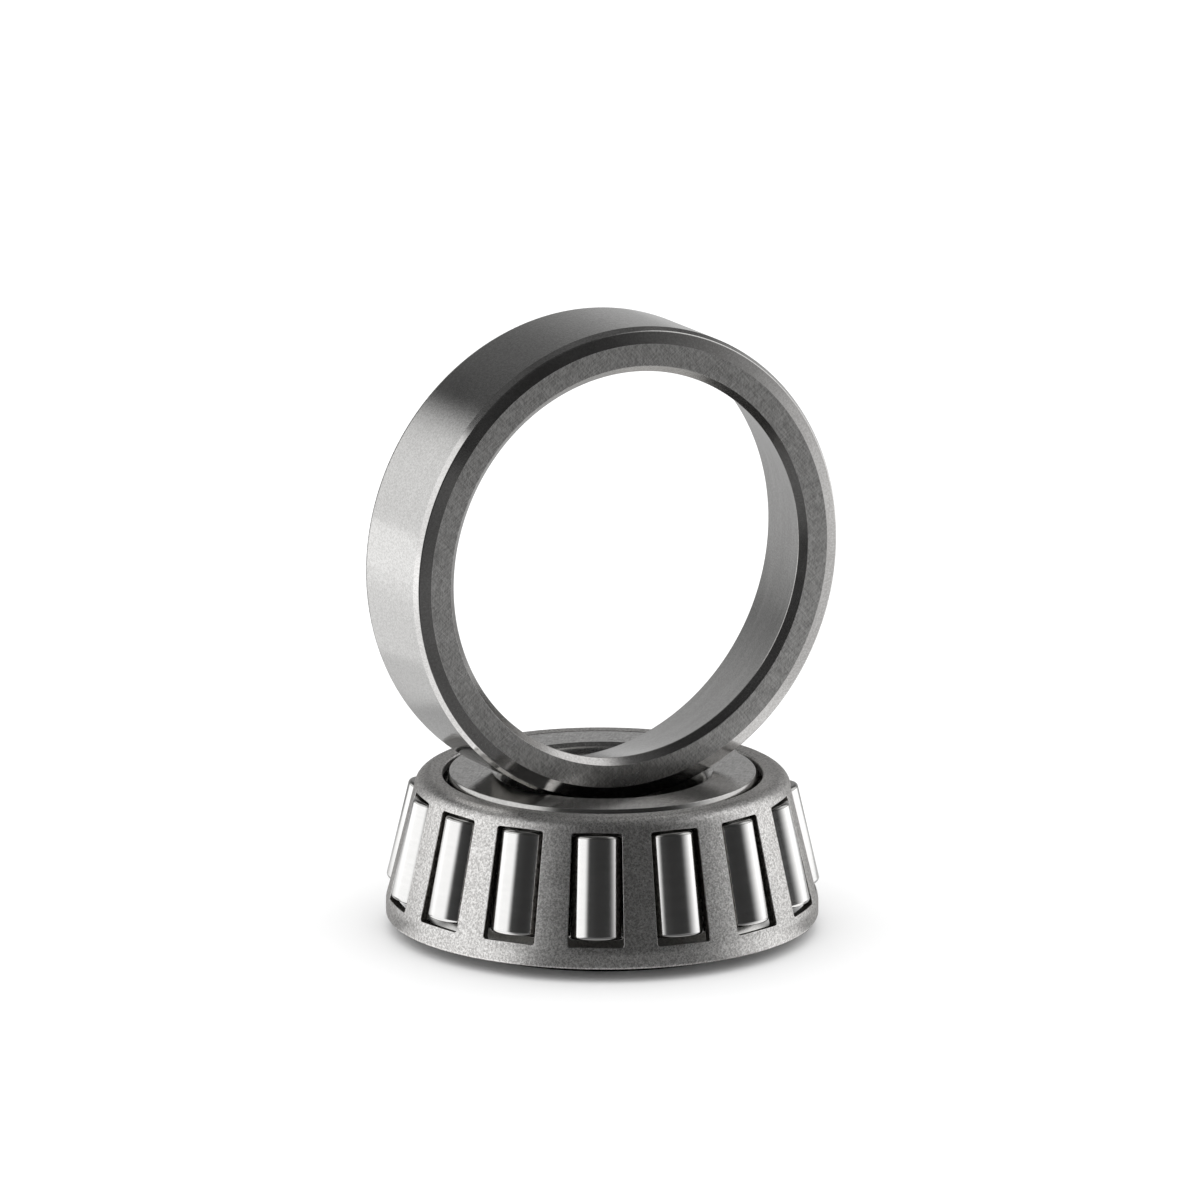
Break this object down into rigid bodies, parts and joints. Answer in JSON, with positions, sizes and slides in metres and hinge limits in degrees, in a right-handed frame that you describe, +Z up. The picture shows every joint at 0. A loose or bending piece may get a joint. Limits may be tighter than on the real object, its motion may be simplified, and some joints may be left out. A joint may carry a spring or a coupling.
{
  "type": "tapered roller bearing",
  "caption": "Tapered roller bearing shown apart: the loose cup stands upright in the mouth of the caged cone assembly's bore.",
  "frame": {"origin": "centre of the cone's back face, on the cone's axis, at the surface that the bearing stands on", "axes": "+Z up along the cone's axis, from its back face to its front face; +Y along the upright cup's axis, from its back face to its front face; +X across"},
  "size_m": [0.062, 0.0557, 0.0801],
  "materials": {
    "ground_steel_cone": "ground and polished bearing steel",
    "ground_steel_cup": "ground bearing steel, satin outside and scratched back face",
    "pressed_steel": "tumbled pressed steel with a fine grain",
    "polished_steel": "superfinished, mirror bright"
  },
  "bodies": {
    "cone": {"cone": "ground_steel_cone"},
    "cage": {"cage": "pressed_steel"},
    "cup": {"cup": "ground_steel_cup"},
    "roller_01": {"roller_01": "polished_steel"},
    "roller_02": {"roller_02": "polished_steel"},
    "roller_03": {"roller_03": "polished_steel"},
    "roller_04": {"roller_04": "polished_steel"},
    "roller_05": {"roller_05": "polished_steel"},
    "roller_06": {"roller_06": "polished_steel"},
    "roller_07": {"roller_07": "polished_steel"},
    "roller_08": {"roller_08": "polished_steel"},
    "roller_09": {"roller_09": "polished_steel"},
    "roller_10": {"roller_10": "polished_steel"},
    "roller_11": {"roller_11": "polished_steel"},
    "roller_12": {"roller_12": "polished_steel"},
    "roller_13": {"roller_13": "polished_steel"},
    "roller_14": {"roller_14": "polished_steel"},
    "roller_15": {"roller_15": "polished_steel"}
  },
  "joints": [
    {"name": "cage_turn", "type": "hinge", "parent": "cone", "child": "cage", "pos_m": [0, 0, 0], "axis": [0, 0, 1], "continuous": true},
    {"name": "cup_lift", "type": "slide", "parent": "cone", "child": "cup", "axis": [0, 0, 1], "range_m": [0, 0.04]},
    {"name": "roller_spin_01", "type": "hinge", "parent": "cage", "child": "roller_01", "pos_m": [0.02322, -0.00041, 0.01144], "axis": [-0.1965, 0.0034, 0.9805], "continuous": true},
    {"name": "roller_spin_02", "type": "hinge", "parent": "cage", "child": "roller_02", "pos_m": [0.02138, 0.00908, 0.01144], "axis": [-0.1809, -0.0768, 0.9805], "continuous": true},
    {"name": "roller_spin_03", "type": "hinge", "parent": "cage", "child": "roller_03", "pos_m": [0.01584, 0.01699, 0.01144], "axis": [-0.134, -0.1437, 0.9805], "continuous": true},
    {"name": "roller_spin_04", "type": "hinge", "parent": "cage", "child": "roller_04", "pos_m": [0.00756, 0.02196, 0.01144], "axis": [-0.064, -0.1858, 0.9805], "continuous": true},
    {"name": "roller_spin_05", "type": "hinge", "parent": "cage", "child": "roller_05", "pos_m": [-0.00202, 0.02314, 0.01144], "axis": [0.0171, -0.1958, 0.9805], "continuous": true},
    {"name": "roller_spin_06", "type": "hinge", "parent": "cage", "child": "roller_06", "pos_m": [-0.01126, 0.02032, 0.01144], "axis": [0.0953, -0.1719, 0.9805], "continuous": true},
    {"name": "roller_spin_07", "type": "hinge", "parent": "cage", "child": "roller_07", "pos_m": [-0.01855, 0.01398, 0.01144], "axis": [0.1569, -0.1183, 0.9805], "continuous": true},
    {"name": "roller_spin_08", "type": "hinge", "parent": "cage", "child": "roller_08", "pos_m": [-0.02263, 0.00523, 0.01144], "axis": [0.1915, -0.0442, 0.9805], "continuous": true},
    {"name": "roller_spin_09", "type": "hinge", "parent": "cage", "child": "roller_09", "pos_m": [-0.0228, -0.00443, 0.01144], "axis": [0.1929, 0.0375, 0.9805], "continuous": true},
    {"name": "roller_spin_10", "type": "hinge", "parent": "cage", "child": "roller_10", "pos_m": [-0.01903, -0.01332, 0.01144], "axis": [0.161, 0.1127, 0.9805], "continuous": true},
    {"name": "roller_spin_11", "type": "hinge", "parent": "cage", "child": "roller_11", "pos_m": [-0.01196, -0.01991, 0.01144], "axis": [0.1012, 0.1684, 0.9805], "continuous": true},
    {"name": "roller_spin_12", "type": "hinge", "parent": "cage", "child": "roller_12", "pos_m": [-0.00283, -0.02305, 0.01144], "axis": [0.0239, 0.195, 0.9805], "continuous": true},
    {"name": "roller_spin_13", "type": "hinge", "parent": "cage", "child": "roller_13", "pos_m": [0.00679, -0.02221, 0.01144], "axis": [-0.0575, 0.1879, 0.9805], "continuous": true},
    {"name": "roller_spin_14", "type": "hinge", "parent": "cage", "child": "roller_14", "pos_m": [0.01524, -0.01753, 0.01144], "axis": [-0.1289, 0.1483, 0.9805], "continuous": true},
    {"name": "roller_spin_15", "type": "hinge", "parent": "cage", "child": "roller_15", "pos_m": [0.02105, -0.00982, 0.01144], "axis": [-0.1781, 0.083, 0.9805], "continuous": true}
  ],
  "couplings": [
    {"joint": "roller_spin_01", "follows": "cage_turn", "ratio": 5.7717},
    {"joint": "roller_spin_02", "follows": "cage_turn", "ratio": 5.7717},
    {"joint": "roller_spin_03", "follows": "cage_turn", "ratio": 5.7717},
    {"joint": "roller_spin_04", "follows": "cage_turn", "ratio": 5.7717},
    {"joint": "roller_spin_05", "follows": "cage_turn", "ratio": 5.7717},
    {"joint": "roller_spin_06", "follows": "cage_turn", "ratio": 5.7717},
    {"joint": "roller_spin_07", "follows": "cage_turn", "ratio": 5.7717},
    {"joint": "roller_spin_08", "follows": "cage_turn", "ratio": 5.7717},
    {"joint": "roller_spin_09", "follows": "cage_turn", "ratio": 5.7717},
    {"joint": "roller_spin_10", "follows": "cage_turn", "ratio": 5.7717},
    {"joint": "roller_spin_11", "follows": "cage_turn", "ratio": 5.7717},
    {"joint": "roller_spin_12", "follows": "cage_turn", "ratio": 5.7717},
    {"joint": "roller_spin_13", "follows": "cage_turn", "ratio": 5.7717},
    {"joint": "roller_spin_14", "follows": "cage_turn", "ratio": 5.7717},
    {"joint": "roller_spin_15", "follows": "cage_turn", "ratio": 5.7717}
  ]
}
